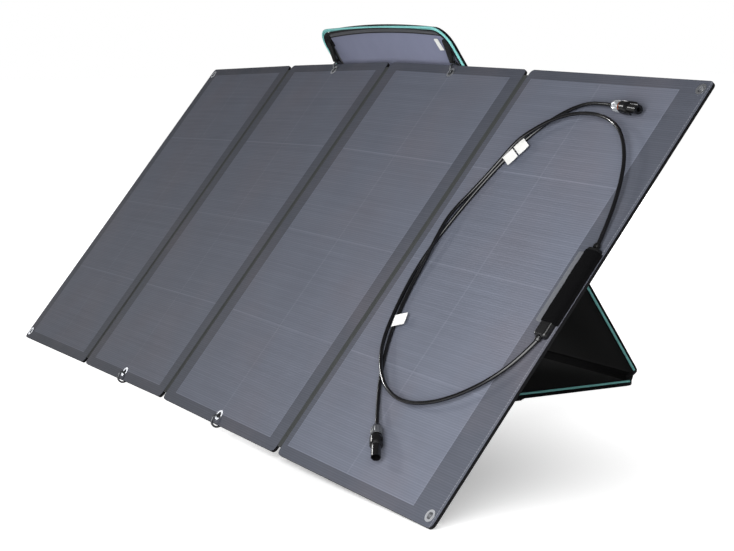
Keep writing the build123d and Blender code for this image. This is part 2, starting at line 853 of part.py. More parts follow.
finish(connector(lower_points, male_length, 3.0, True), "connector_male")
finish(connector(upper_points, female_length, 5.4, False), "connector_female")


flags = [
    (lower_points, 15, 0.1, -11.0),
    (lower_points, 15, 0.57, -11.0),
    (upper_points, 17, 0.3, 11.5),
]
with BuildPart() as labels:
    for points, index, share, shift in flags:
        run = points[index + 1] - points[index]
        along = run.normalized()
        level = (plane_4.z_dir - along * plane_4.z_dir.dot(along)).normalized()
        face = Plane(origin=points[index] + run * share, x_dir=along, z_dir=level)
        with BuildSketch(face.offset(lead_radius + label_gap)):
            with Locations((0, shift)):
                Rectangle(label_length, label_width)
        extrude(amount=label_thick)
finish(labels.part, "lead_labels")

# ---- blank tag beside the upper right tie, sewn to the lining ----

tag_centre = rear_plane.from_local_coords(Vector(tie_place - tag_side, top_anchor - tag_drop, lining_top + tag_lift))
with BuildPart() as tag:
    with BuildSketch(Plane(origin=tag_centre, x_dir=(1, 0, 0), z_dir=rear_plane.z_dir)):
        RectangleRounded(tag_width, tag_height, 1.0)
    extrude(amount=label_thick)
finish(tag.part, "tie_tag")

print("rear slope", round(rear_slope, 2), "centre height", round(centre_height, 2), "leaf thickness", leaf_thick)
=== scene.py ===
import json
from math import acos, copysign, cos, hypot, pi, radians, sin

import bpy
from mathutils import Matrix, Vector, noise


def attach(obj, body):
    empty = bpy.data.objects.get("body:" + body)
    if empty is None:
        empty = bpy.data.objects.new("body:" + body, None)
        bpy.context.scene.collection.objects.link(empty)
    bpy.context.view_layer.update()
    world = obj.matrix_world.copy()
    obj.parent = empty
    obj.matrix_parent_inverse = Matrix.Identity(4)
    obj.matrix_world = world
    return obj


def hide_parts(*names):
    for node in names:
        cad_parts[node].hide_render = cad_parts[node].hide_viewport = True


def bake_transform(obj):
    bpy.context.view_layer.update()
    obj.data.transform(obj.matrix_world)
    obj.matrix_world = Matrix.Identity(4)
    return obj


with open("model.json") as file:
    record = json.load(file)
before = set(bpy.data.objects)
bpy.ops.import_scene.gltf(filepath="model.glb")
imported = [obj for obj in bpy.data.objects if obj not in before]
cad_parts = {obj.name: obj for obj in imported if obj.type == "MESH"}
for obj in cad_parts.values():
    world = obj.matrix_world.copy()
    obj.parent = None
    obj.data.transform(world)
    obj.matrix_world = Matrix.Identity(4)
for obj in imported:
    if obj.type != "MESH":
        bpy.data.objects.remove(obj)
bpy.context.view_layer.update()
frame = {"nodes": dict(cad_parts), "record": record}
scene = bpy.context.scene
record = frame["record"]
joints = {joint["name"]: joint for joint in record["behaviour"]["joints"]}
mounts = {mount["name"]: mount for mount in record["mounts"]}

# camera

cameraValues = {"lens": 81.555, "place": (2.44494, -1.42533, 0.57233), "pitch": 7.670, "turn": 60.753}
bpy.ops.object.camera_add(
    location=cameraValues["place"],
    rotation=(radians(90 - cameraValues["pitch"]), 0, radians(cameraValues["turn"])),
)
camera = bpy.context.object
camera.name = "camera"
camera.data.lens = cameraValues["lens"]
camera.data.sensor_width = 36
camera.data.dof.use_dof = False
scene.camera = camera

# frames of the leaves: X across from the fold line, Y up the leaf, Z out of its front


def frameOf(origin, across, up):
    out = across.cross(up)
    return Matrix(
        (
            (across.x, up.x, out.x, origin.x),
            (across.y, up.y, out.y, origin.y),
            (across.z, up.z, out.z, origin.z),
            (0, 0, 0, 1),
        )
    )


foldCentre = Vector(joints["fold_centre"]["pos_m"])
foldRight = Vector(joints["fold_right"]["pos_m"])
foldLeft = Vector(joints["fold_left"]["pos_m"])
slopeUp = Vector(joints["fold_centre"]["axis"]).normalized()
rightOut = Vector(mounts["eyelet_right_lower"]["axis"]).normalized()
leftOut = Vector(mounts["eyelet_left_lower"]["axis"]).normalized()
leafFrame = {
    1: frameOf(foldLeft, slopeUp.cross(leftOut), slopeUp),
    2: frameOf(foldCentre, (foldCentre - foldLeft).normalized(), slopeUp),
    3: frameOf(foldCentre, (foldRight - foldCentre).normalized(), slopeUp),
    4: frameOf(foldRight, slopeUp.cross(rightOut), slopeUp),
}

# leads first: the route's points across from the fold line, up from the lower edge and off the leaf, in mm

leadValues = {
    "radius": 0.00275,
    "upper": [
        (380, 416.2, 5.0), (376, 448, 7.5), (361, 499, 10.5), (336, 547, 12.5), (293, 588, 13.0),
        (240, 605, 13.0), (184, 604, 12.0), (142, 590, 10.5), (119, 574, 9.8), (97, 553, 9.4),
        (85, 534, 6.0), (73, 502, 3.4), (60, 459, 3.8), (53, 416, 9.6), (58, 374, 9.6),
        (62, 331, 6.0), (66, 288, 3.6), (76, 249, 3.4), (92, 209, 3.4), (117, 167, 3.4),
        (151, 127, 5.2), (191, 91, 9.4),
    ],
    "lower": [
        (380, 267.8, 5.0), (371, 237, 6.5), (346, 199, 8.5), (307, 165, 9.5), (262, 142, 9.5),
        (214, 132, 9.5), (168, 139, 10.5), (128, 161, 9.8), (99, 190, 9.6), (78, 221, 6.5),
        (62, 259, 3.6), (50, 316, 3.4), (51, 372, 3.4), (60, 423, 3.4), (71, 473, 3.4),
        (87, 524, 3.4), (107, 565, 3.4), (134, 598, 3.4), (168, 621, 3.8), (207, 627, 7.4),
        (245, 623.5, 9.4),
    ],
}


def leadCurve(name, route):
    points = [leafFrame[4] @ Vector((x / 1000, y / 1000, z / 1000)) for x, y, z in route]
    bpy.ops.object.select_all(action="DESELECT")
    bpy.ops.curve.primitive_nurbs_path_add()
    cable = bpy.context.object
    cable.name = name
    data = cable.data
    data.splines.clear()
    spline = data.splines.new("NURBS")
    spline.points.add(len(points) - 1)
    for point, place in zip(spline.points, points):
        point.co = (*place, 1)
    spline.order_u = 3
    spline.use_endpoint_u = True
    data.resolution_u = 16
    data.bevel_depth = leadValues["radius"]
    data.bevel_resolution = 6
    data.use_fill_caps = True
    return cable, points


# frames of the case halves: X across, Y away from the spine, Z out of the open side

caseValues = {
    "slope": 55.908,
    "depth": 0.012,
    "width": 0.412,
    "length": 0.724,
    "corner": 0.032,
    "heel": 0.018,
    "arch": 0.008,
    "spineWidth": 0.370,
}
hinge = Vector(joints["case_spread"]["pos_m"])
rearUp = Vector((0, -cos(radians(caseValues["slope"])), sin(radians(caseValues["slope"]))))
rearOut = Vector((1, 0, 0)).cross(rearUp)
halfFrame = {
    "base": frameOf(Vector((0, hinge.y, 0)), Vector((-1, 0, 0)), Vector((0, -1, 0))),
    "rear": frameOf(hinge - rearOut * caseValues["depth"], Vector((1, 0, 0)), rearUp),
}

leadUpper, upperPoints = leadCurve("leadUpper", leadValues["upper"])
leadLower, lowerPoints = leadCurve("leadLower", leadValues["lower"])
print("camera and leads")

# materials


def linear(code):
    parts = [int(code[i : i + 2], 16) / 255 for i in (1, 3, 5)]
    return tuple(c / 12.92 if c <= 0.04045 else ((c + 0.055) / 1.055) ** 2.4 for c in parts) + (1,)


def add(tree, kind, settings=None, **inputs):
    made = tree.nodes.new(kind)
    for key, value in (settings or {}).items():
        setattr(made, key, value)
    for key, value in inputs.items():
        numbered = key[0] == "i" and key[1:].isdigit()
        socket = made.inputs[int(key[1:]) if numbered else key.replace("_", " ")]
        if isinstance(value, bpy.types.NodeSocket):
            tree.links.new(value, socket)
        else:
            socket.default_value = value
    return made


def newMaterial(name):
    material = bpy.data.materials.new(name)
    material.use_nodes = True
    tree = material.node_tree
    shader = next(item for item in tree.nodes if item.type == "BSDF_PRINCIPLED")
    return material, tree, shader


def maths(tree, operation, first, second=0.0, third=0.0):
    made = add(tree, "ShaderNodeMath", {"operation": operation}, i0=first, i1=second, i2=third)
    return made.outputs[0]


def blendColours(tree, factor, first, second, mode="MIX"):
    made = tree.nodes.new("ShaderNodeMix")
    made.data_type = "RGBA"
    made.blend_type = mode
    for socket, value in ((made.inputs[0], factor), (made.inputs[6], first), (made.inputs[7], second)):
        if isinstance(value, bpy.types.NodeSocket):
            tree.links.new(value, socket)
        else:
            socket.default_value = value
    return made.outputs[2]


def shadeColour(tree, colour, shade):
    grey = add(tree, "ShaderNodeCombineColor", i0=shade, i1=shade, i2=shade).outputs[0]
    return blendColours(tree, 1.0, colour, grey, "MULTIPLY")


def spread(tree, value, size, base):
    return maths(tree, "ADD", maths(tree, "MULTIPLY", value, size), base)


def wovenMaterial(name, colour, pitch, depth, rough=0.85, variation=0.12, sheen=0.05):
    material, tree, shader = newMaterial(name)
    place = add(tree, "ShaderNodeTexCoord").outputs["Object"]
    parts = add(tree, "ShaderNodeSeparateXYZ", i0=place).outputs
    across = maths(tree, "SINE", maths(tree, "MULTIPLY", maths(tree, "ADD", parts[0], parts[2]), 2 * pi / pitch))
    along = maths(tree, "SINE", maths(tree, "MULTIPLY", maths(tree, "SUBTRACT", parts[1], parts[2]), 2 * pi / pitch))
    weave = maths(tree, "MULTIPLY", across, along)
    cloud = add(tree, "ShaderNodeTexNoise", Vector=place, Scale=35.0, Detail=4.0).outputs[0]
    fibre = add(tree, "ShaderNodeTexNoise", Vector=place, Scale=900.0, Detail=2.0).outputs[0]
    shade = spread(tree, cloud, variation * 2, 1 - variation)
    shade = maths(tree, "MULTIPLY", shade, spread(tree, weave, 0.08, 0.97))
    tint = shadeColour(tree, linear(colour), shade)
    tree.links.new(tint, shader.inputs["Base Color"])
    height = maths(tree, "ADD", weave, maths(tree, "MULTIPLY", fibre, 0.8))
    bump = add(tree, "ShaderNodeBump", Strength=0.6, Distance=depth, Height=height)
    tree.links.new(bump.outputs[0], shader.inputs["Normal"])
    tree.links.new(spread(tree, fibre, 0.12, rough - 0.06), shader.inputs["Roughness"])
    shader.inputs["Sheen Weight"].default_value = sheen
    shader.inputs["Specular IOR Level"].default_value = 0.06
    return material


def mouldedMaterial(name, colour, rough, grain=0.00004, metallic=0.0, wear=0.05):
    material, tree, shader = newMaterial(name)
    place = add(tree, "ShaderNodeTexCoord").outputs["Object"]
    fine = add(tree, "ShaderNodeTexNoise", Vector=place, Scale=1400.0, Detail=3.0).outputs[0]
    broad = add(tree, "ShaderNodeTexNoise", Vector=place, Scale=60.0, Detail=4.0).outputs[0]
    shade = spread(tree, broad, 2 * wear, 1 - wear)
    tint = shadeColour(tree, linear(colour), shade)
    tree.links.new(tint, shader.inputs["Base Color"])
    tree.links.new(spread(tree, broad, 0.16, rough - 0.08), shader.inputs["Roughness"])
    bump = add(tree, "ShaderNodeBump", Strength=0.35, Distance=grain, Height=fine)
    tree.links.new(bump.outputs[0], shader.inputs["Normal"])
    shader.inputs["Metallic"].default_value = metallic
    return material


laminateValues = {
    "cell": 0.15875,
    "gap": 0.003,
    "corner": 0.008,
    "columns": 2,
    "rows": 4,
    "middle": 0.34,  # half the leaf's height
    "rib": 0.0033,  # drawn coarser than real, so that it shows
    "thread": 0.0016,
    "stitch": 0.0045,
    "stitchIn": 0.0040,
    "stitchWide": 0.0005,
    "relief": 0.00016,
    "cellColour": "#626672",
    "borderColour": "#4C4F58",
    "lineColour": "#7A7E8C",
    "warmColour": "#6B6469",
    "threadColour": "#85878D",
}


def laminateMaterial(name, start, edge):
    values = laminateValues
    material, tree, shader = newMaterial(name)
    place = add(tree, "ShaderNodeTexCoord").outputs["UV"]
    parts = add(tree, "ShaderNodeSeparateXYZ", i0=place).outputs
    pitch = values["cell"] + values["gap"]
    bottom = values["middle"] - values["rows"] / 2 * pitch
    first = start - values["gap"] / 2
    column = maths(tree, "DIVIDE", maths(tree, "SUBTRACT", parts[0], first), pitch)
    row = maths(tree, "DIVIDE", maths(tree, "SUBTRACT", parts[1], bottom), pitch)
    inX = maths(tree, "COMPARE", column, values["columns"] / 2, values["columns"] / 2)
    inY = maths(tree, "COMPARE", row, values["rows"] / 2, values["rows"] / 2)
    inside = maths(tree, "MULTIPLY", inX, inY)
    offX = maths(tree, "ABSOLUTE", maths(tree, "SUBTRACT", maths(tree, "FRACT", column), 0.5))
    offY = maths(tree, "ABSOLUTE", maths(tree, "SUBTRACT", maths(tree, "FRACT", row), 0.5))
    reach = values["cell"] / 2 / pitch
    nearX = maths(tree, "LESS_THAN", offX, reach)
    nearY = maths(tree, "LESS_THAN", offY, reach)
    square = maths(tree, "MULTIPLY", nearX, nearY)
    chamfer = maths(tree, "LESS_THAN", maths(tree, "ADD", offX, offY), 2 * reach - values["corner"] / pitch)
    cell = maths(tree, "MULTIPLY", inside, maths(tree, "MULTIPLY", square, chamfer))
    gap = maths(tree, "MULTIPLY", inside, maths(tree, "SUBTRACT", 1.0, square))
    ribs = maths(tree, "SINE", maths(tree, "MULTIPLY", parts[1], 2 * pi / values["rib"]))
    threads = maths(tree, "SINE", maths(tree, "MULTIPLY", parts[0], 2 * pi / values["thread"]))
    cloud = add(tree, "ShaderNodeTexNoise", Vector=place, Scale=14.0, Detail=5.0).outputs[0]
    streakPlace = add(tree, "ShaderNodeMapping", Vector=place, Scale=(3.0, 260.0, 1.0)).outputs[0]
    streaks = add(tree, "ShaderNodeTexNoise", Vector=streakPlace, Scale=1.0, Detail=3.0).outputs[0]
    grain = add(tree, "ShaderNodeTexNoise", Vector=place, Scale=1300.0, Detail=2.0).outputs[0]
    soft = maths(tree, "ADD", maths(tree, "MULTIPLY", cell, 0.12), maths(tree, "MULTIPLY", inside, 0.88))
    colour = blendColours(tree, soft, linear(values["borderColour"]), linear(values["cellColour"]))
    colour = blendColours(tree, maths(tree, "MULTIPLY", gap, 0.3), colour, linear(values["lineColour"]))
    warm = add(tree, "ShaderNodeTexNoise", Vector=place, Scale=6.0, Detail=3.0).outputs[0]
    warmShare = add(tree, "ShaderNodeMapRange", Value=warm, From_Min=0.45, From_Max=0.75).outputs[0]
    colour = blendColours(tree, maths(tree, "MULTIPLY", warmShare, 0.3), colour, linear(values["warmColour"]))
    fromEdge = maths(tree, "ABSOLUTE", maths(tree, "SUBTRACT", parts[0], edge))
    edgeLine = maths(tree, "COMPARE", fromEdge, values["stitchIn"], values["stitchWide"])
    wave = maths(tree, "SINE", maths(tree, "MULTIPLY", parts[1], 2 * pi / values["stitch"]))
    dashes = maths(tree, "GREATER_THAN", wave, -0.6)
    edgeLine = maths(tree, "MULTIPLY", edgeLine, dashes)
    colour = blendColours(tree, maths(tree, "MULTIPLY", edgeLine, 0.7), colour, linear(values["threadColour"]))
    shade = spread(tree, cloud, 0.16, 0.92)
    shade = maths(tree, "MULTIPLY", shade, spread(tree, streaks, 0.3, 0.85))
    # painted shading of the ribs: their light and dark lines in the colour stand for light on the rib relief, broken
    # up by the streaks
    paintedRibShade = maths(tree, "MULTIPLY", ribs, spread(tree, streaks, 0.13, 0.01))
    shade = maths(tree, "MULTIPLY", shade, maths(tree, "ADD", paintedRibShade, 1.0))
    shade = maths(tree, "MULTIPLY", shade, spread(tree, grain, 0.3, 0.85))
    tint = shadeColour(tree, colour, shade)
    tree.links.new(tint, shader.inputs["Base Color"])
    height = maths(tree, "ADD", maths(tree, "MULTIPLY", ribs, 0.5), maths(tree, "MULTIPLY", threads, 0.2))
    height = maths(tree, "ADD", height, maths(tree, "MULTIPLY", grain, 0.7))
    height = maths(tree, "ADD", height, maths(tree, "MULTIPLY", cell, 1.2))
    bump = add(tree, "ShaderNodeBump", Strength=0.5, Distance=values["relief"], Height=height)
    tree.links.new(bump.outputs[0], shader.inputs["Normal"])
    tree.links.new(spread(tree, grain, 0.2, 0.5), shader.inputs["Roughness"])
    shader.inputs["Specular IOR Level"].default_value = 0.05
    return material


# the rear lining's pattern: a bowed seam near its far end with a painted shadow line along it, dark sides and near
# black low down
liningPattern = {
    "colour": "#7B7F96",
    "bandColour": "#55565A",
    "seamShadowColour": "#0B0B0C",
    "lowerColour": "#0E0F11",
    "seamAt": 0.7100,
    "seamBow": 0.0085,
    "seamHalf": 0.0011,
    "bowHalf": 0.185,
    "sideFrom": 0.197,
    "lowerTop": 0.4512,
}


def bandedLining(name):
    values = liningPattern
    material = wovenMaterial(name, values["colour"], 0.0007, 0.00004, variation=0.06, sheen=0.1)
    tree = material.node_tree
    shader = next(item for item in tree.nodes if item.type == "BSDF_PRINCIPLED")
    plain = shader.inputs["Base Color"].links[0].from_socket
    parts = add(tree, "ShaderNodeSeparateXYZ", i0=add(tree, "ShaderNodeTexCoord").outputs["UV"]).outputs
    share = maths(tree, "POWER", maths(tree, "DIVIDE", parts[0], values["bowHalf"]), 2.0)
    height = maths(tree, "SUBTRACT", parts[1], spread(tree, share, -values["seamBow"], values["seamAt"]))
    band = maths(tree, "GREATER_THAN", height, 0.0)
    # a near-black line along the bowed seam, partly the seam itself and partly painted shadow under it
    edge = maths(tree, "LESS_THAN", maths(tree, "ABSOLUTE", height), values["seamHalf"])
    side = maths(tree, "GREATER_THAN", maths(tree, "ABSOLUTE", parts[0]), values["sideFrom"])
    tint = blendColours(tree, maths(tree, "MAXIMUM", band, side), plain, linear(values["bandColour"]))
    tint = blendColours(tree, edge, tint, linear(values["seamShadowColour"]))
    lower = maths(tree, "LESS_THAN", parts[1], values["lowerTop"])
    tint = blendColours(tree, lower, tint, linear(values["lowerColour"]))
    tree.links.new(tint, shader.inputs["Base Color"])
    return material


# woven and coated cloth: matt, with a fine weave that breaks up the light
caseCloth = wovenMaterial("coatedWovenCloth", "#1C1D20", 0.0012, 0.00012)
bindingCloth = wovenMaterial("blackBindingTape", "#0C0C0E", 0.0009, 0.00008)
liningBanded = bandedLining("bandedLining")
backCloth = wovenMaterial("plainWovenBacking", "#1A1B1E", 0.0010, 0.00010)
baseLining = wovenMaterial("darkWovenLining", "#101114", 0.0007, 0.00004, variation=0.06)
liningCloth = wovenMaterial("smoothWovenLining", "#666B81", 0.0007, 0.00004, variation=0.06)
# the piping's light teal is partly its own colour and partly a painted highlight, lightened all round
pipingClothWithHighlight = wovenMaterial("wovenPipingCover", "#86CDC9", 0.0008, 0.00006, variation=0.06)
tapeCloth = wovenMaterial("knittedZipTape", "#0D0D0F", 0.0009, 0.00010)
webbingCloth = wovenMaterial("ribbedWebbing", "#0C0C0E", 0.0016, 0.00025)
wrapCloth = wovenMaterial("brushedHookAndLoop", "#060607", 0.0007, 0.00015, rough=0.95, sheen=0.0)
foldCloth = wovenMaterial("wovenFoldCloth", "#3B3D3D", 0.0011, 0.00010)
flangeCloth = wovenMaterial("coatedFlange", "#5E6065", 0.0011, 0.00006, rough=0.5, sheen=0.05)
# plated metal: grey, softly mirroring
eyeletMetal = mouldedMaterial("platedPressedEyelet", "#A2A4A8", 0.5, grain=0.00001, metallic=1.0)
hookMetal = mouldedMaterial("platedDrawnWire", "#5E6063", 0.44, grain=0.00001, metallic=1.0)
# stiff sheets and silicon cells, seen only at a cut or an open edge
boardSheet = mouldedMaterial("pressedBoard", "#C9C6BC", 0.8)
caseSheet = mouldedMaterial("polymerSheet", "#3B3B3D", 0.6)
cellGlass = mouldedMaterial("siliconCell", "#343A4A", 0.25)
# moulded nylon and extruded sheath: near black, with narrow bright highlights
blackPlastic = mouldedMaterial("mouldedNylon", "#0B0B0C", 0.24, grain=0.00001)
sheath = mouldedMaterial("extrudedSheath", "#0B0B0D", 0.17, grain=0.000004)
sliderMetal = mouldedMaterial("paintedZinc", "#141416", 0.35, metallic=0.6)
# matt blank paper, red-brown silicone rubber, pale and grey ribbed nuts
paper = mouldedMaterial("blankPaperLabel", "#E9E9E6", 0.7, grain=0.00002, wear=0.03)
sealRubber = mouldedMaterial("siliconeSeal", "#C05A2A", 0.5)
brightNylon = mouldedMaterial("brightNylon", "#B9BCC0", 0.24, grain=0.00001, metallic=0.5)
greyNylon = mouldedMaterial("greyNylon", "#4A4C50", 0.3)

cadMaterials = {
    "eyelets": eyeletMetal,
    "hook": hookMetal,
    "gate": hookMetal,
    "zip_slider": sliderMetal,
    "zip_pull": sliderMetal,
    "cells": cellGlass,
    "connector": blackPlastic,
    "junction": blackPlastic,
    "case_base_board": caseSheet,
    "case_rear_board": caseSheet,
    "board": boardSheet,
    "back_cloth": backCloth,
    "front_sheet": backCloth,
    "shell": caseCloth,
    "spine": caseCloth,
    "lining": liningCloth,
    "piping": pipingClothWithHighlight,
    "zip_tape": tapeCloth,
    "webbing": webbingCloth,
    "handle": webbingCloth,
    "wrap": wrapCloth,
    "fold_cloth": foldCloth,
    "label": paper,
    "tag": paper,
    "lead": sheath,
}
for name, thing in frame["nodes"].items():
    material = next(value for key, value in cadMaterials.items() if key in name)
    for materialSlot in thing.material_slots:
        materialSlot.material = material
for cable, node in ((leadUpper, "lead_upper"), (leadLower, "lead_lower")):
    cable.data.materials.clear()
    cable.data.materials.append(sheath)
    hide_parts(node)
    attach(cable, "leaf_4")
print("materials")

# modelling helpers


def applyPlace():
    bpy.ops.object.transform_apply(location=True, rotation=True, scale=True)


def alone(thing):
    if bpy.context.object and bpy.context.object.mode != "OBJECT":
        bpy.ops.object.mode_set(mode="OBJECT")
    bpy.ops.object.select_all(action="DESELECT")
    thing.select_set(True)
    bpy.context.view_layer.objects.active = thing


def modify(thing, kind, **settings):
    alone(thing)
    modifier = thing.modifiers.new(kind, kind)
    for key, value in settings.items():
        setattr(modifier, key, value)
    bpy.ops.object.modifier_apply(modifier=modifier.name)


def soften(thing, width, angle=60, segments=2):
    modify(thing, "BEVEL", width=width, segments=segments, limit_method="ANGLE", angle_limit=radians(angle))


def settle(thing, matrix):
    alone(thing)
    thing.matrix_world = matrix
    applyPlace()


def flatMap(thing):
    layer = thing.data.uv_layers.active or thing.data.uv_layers.new(name="local")
    for loop in thing.data.loops:
        place = thing.data.vertices[loop.vertex_index].co
        layer.data[loop.index].uv = (place.x, place.y)


def paint(thing, materials, choose=lambda polygon: 0):
    thing.data.materials.clear()
    for material in materials:
        thing.data.materials.append(material)
    for polygon in thing.data.polygons:
        polygon.material_index = choose(polygon)


# leaf covers: laminate in front, binding at the edge, cloth behind

leafValues = {
    "height": 2 * laminateValues["middle"],
    "thick": 0.005,
    "corner": 0.008,
    "bore": 0.0062,
    "edge": 0.014,
    "skin": 0.0004,
}
leafSpans = {1: (-0.387, -0.006), 2: (-0.3865, -0.006), 3: (0.006, 0.3865), 4: (0.006, 0.396)}
leafEyelets = {1: (-0.373, -0.372), 2: (-0.196, -0.196), 3: (0.196, 0.196), 4: (0.382, 0.381)}
cellSpan = laminateValues["columns"] * laminateValues["cell"] + laminateValues["gap"]
cellStarts = {1: -0.036 - cellSpan, 2: -0.036 - cellSpan, 3: 0.036, 4: 0.020}
for number in (1, 2, 3, 4):
    left, right = leafSpans[number]
    bpy.ops.object.select_all(action="DESELECT")
    bpy.ops.mesh.primitive_plane_add(size=1, location=((left + right) / 2, leafValues["height"] / 2, 0))
    cover = bpy.context.object
    cover.name = f"leafCover{number}"
    cover.scale = (right - left + 2 * leafValues["skin"], leafValues["height"] + 2 * leafValues["skin"], 1)
    applyPlace()
    bpy.ops.object.mode_set(mode="EDIT")
    bpy.ops.mesh.select_all(action="SELECT")
    bpy.ops.mesh.bevel(affect="VERTICES", offset=leafValues["corner"], segments=6)
    bpy.ops.mesh.select_all(action="SELECT")
    bpy.ops.mesh.extrude_region_move(TRANSFORM_OT_translate={"value": (0, 0, -leafValues["thick"])})
    bpy.ops.mesh.select_all(action="SELECT")
    bpy.ops.mesh.normals_make_consistent(inside=False)
    bpy.ops.object.mode_set(mode="OBJECT")
    for across, height in zip(leafEyelets[number], (leafValues["edge"], leafValues["height"] - leafValues["edge"])):
        bpy.ops.object.select_all(action="DESELECT")
        bpy.ops.mesh.primitive_cylinder_add(
            radius=leafValues["bore"], depth=0.02, vertices=32, location=(across, height, 0)
        )
        punch = bpy.context.object
        modify(cover, "BOOLEAN", object=punch, operation="DIFFERENCE", solver="EXACT")
        bpy.data.objects.remove(punch)
    soften(cover, 0.0007)
    flatMap(cover)
    outer = {1: left, 4: right}.get(number, 1.0)  # stitched only along the free edges
    laminate = laminateMaterial(f"ribbedLaminate{number}", cellStarts[number], outer)
    paint(
        cover,
        [laminate, bindingCloth, backCloth],
        lambda polygon: 0 if polygon.normal.z > 0.5 else 2 if polygon.normal.z < -0.5 else 1,
    )
    settle(cover, leafFrame[number])
    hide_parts(f"leaf_{number}_front_sheet", f"leaf_{number}_back_cloth")
    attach(cover, f"leaf_{number}")
print("leaf covers")

# soft-piece helpers


def grid(name, columns, rows, width, near, far):
    bpy.ops.object.select_all(action="DESELECT")
    bpy.ops.mesh.primitive_grid_add(
        x_subdivisions=columns, y_subdivisions=rows, size=1, location=(0, (near + far) / 2, 0)
    )
    thing = bpy.context.object
    thing.name = name
    thing.scale = (width, far - near, 1)
    applyPlace()
    return thing


def roundOutline(thing, half, near, far, corner, heel, arch):
    for vertex in thing.data.vertices:
        place = vertex.co
        for start, radius, way in ((far - corner, corner, 1), (near + heel, heel, -1)):
            across = abs(place.x) - (half - radius)
            beyond = (place.y - start) * way
            if across > 0 and beyond > 0:
                share = max(across, beyond) / hypot(across, beyond)
                place.x = copysign(half - radius + across * share, place.x)
                place.y = start + way * beyond * share
        bow = max(0.0, 1 - (place.x / (half - corner)) ** 2)
        place.y += arch * bow * max(0.0, (place.y - near) / (far - near))


def pickBorder(thing, skip):
    used = {}
    for polygon in thing.data.polygons:
        polygon.select = False
        for key in polygon.edge_keys:
            used[key] = used.get(key, 0) + 1
    for vertex in thing.data.vertices:
        vertex.select = False
    for edge in thing.data.edges:
        ends = [thing.data.vertices[index].co for index in edge.vertices]
        edge.select = used.get(edge.key, used.get(edge.key[::-1], 0)) == 1 and not skip(*ends)


def ripple(thing, size, depth, seed, fade=None):
    for vertex in thing.data.vertices:
        amount = noise.noise(vertex.co / size + Vector((seed, 0, 0))) * depth
        vertex.co.z += amount * (fade(vertex.co) if fade else 1)


def faceOut(thing):
    alone(thing)
    bpy.ops.object.mode_set(mode="EDIT")
    bpy.ops.mesh.select_all(action="SELECT")
    bpy.ops.mesh.normals_make_consistent(inside=False)
    bpy.ops.object.mode_set(mode="OBJECT")
    bottom = min(thing.data.polygons, key=lambda polygon: polygon.center.z)
    if bottom.normal.z > 0:
        thing.data.flip_normals()


def smooth(thing, angle=40):
    alone(thing)
    bpy.ops.object.shade_smooth_by_angle(angle=radians(angle))


def pathCurve(name, points, cyclic=False, width=0.0, bevel=0.0, rounds=3):
    bpy.ops.object.select_all(action="DESELECT")
    bpy.ops.curve.primitive_nurbs_path_add()
    line = bpy.context.object
    line.name = name
    line.data.splines.clear()
    spline = line.data.splines.new("POLY")
    spline.points.add(len(points) - 1)
    for point, place in zip(spline.points, points):
        point.co = (*place, 1)
    spline.use_cyclic_u = cyclic
    line.data.extrude = width / 2
    line.data.bevel_depth = bevel
    line.data.bevel_resolution = rounds
    line.data.use_fill_caps = bevel > 0
    return line


def asMesh(line):
    alone(line)
    bpy.ops.object.convert(target="MESH")
    return bpy.context.object


def rimPoints(outset, height, start, spacing=0.008):
    half = caseValues["width"] / 2 + outset
    far = caseValues["length"] - caseValues["arch"] + outset
    big = caseValues["corner"] + outset
    points = []
    steps = int((far - big - start) / spacing)
    for step in range(steps + 1):
        points.append((half, start + (far - big - start) * step / steps, height))
    for step in range(1, 9):
        turn = pi / 2 * step / 8
        points.append((half - big + big * cos(turn), far - big + big * sin(turn), height))
    for step in range(1, 44):
        across = (half - big) * (1 - 2 * step / 44)
        points.append((across, far + (caseValues["arch"] - outset) * (1 - (across / (half - big)) ** 2), height))
    for x, y, z in reversed(points[: steps + 9]):
        points.append((-x, y, z))
    return points


def ribbon(name, points, width, thick, cyclic=False):
    band = asMesh(pathCurve(name, points, cyclic=cyclic, width=width))
    modify(band, "SOLIDIFY", thickness=thick, offset=0)
    soften(band, thick * 0.3, angle=50)
    return band


def copyAlong(name, size, pitch, points):
    track = pathCurve(f"{name}Track", points)
    bpy.ops.object.select_all(action="DESELECT")
    bpy.ops.mesh.primitive_cube_add(size=1)
    tooth = bpy.context.object
    tooth.name = name
    tooth.scale = size
    applyPlace()
    modify(tooth, "BEVEL", width=0.0002, segments=1)
    modify(
        tooth,
        "ARRAY",
        fit_type="FIT_CURVE",
        curve=track,
        use_relative_offset=False,
        use_constant_offset=True,
        constant_offset_displace=(pitch, 0, 0),
    )
    modify(tooth, "CURVE", object=track, deform_axis="POS_X")
    bpy.data.objects.remove(track)
    return tooth


def joined(first, *others):
    alone(first)
    for other in others:
        other.select_set(True)
    bpy.ops.object.join()
    return bpy.context.object


# case: shells, linings, piping and zip tapes

trayValues = {
    "cloth": 0.0013,
    "fold": 0.0022,
    "bulge": {"base": 0.0, "rear": 0.0022},
    "lean": {"base": 0.002, "rear": 0.009},
    "leanFrom": 0.06,
    "ripple": 0.0005,
}
liningValues = {"inset": 0.0022, "height": 0.0037, "thick": 0.00056}
pipingValues = {"radius": 0.0019, "height": 0.0099, "outset": 0.0046, "flange": 0.0016, "flangeThick": 0.0030}
zipValues = {"height": 0.0064, "low": 0.0012, "thick": 0.0008, "toothPitch": 0.0022, "endGap": 0.040}


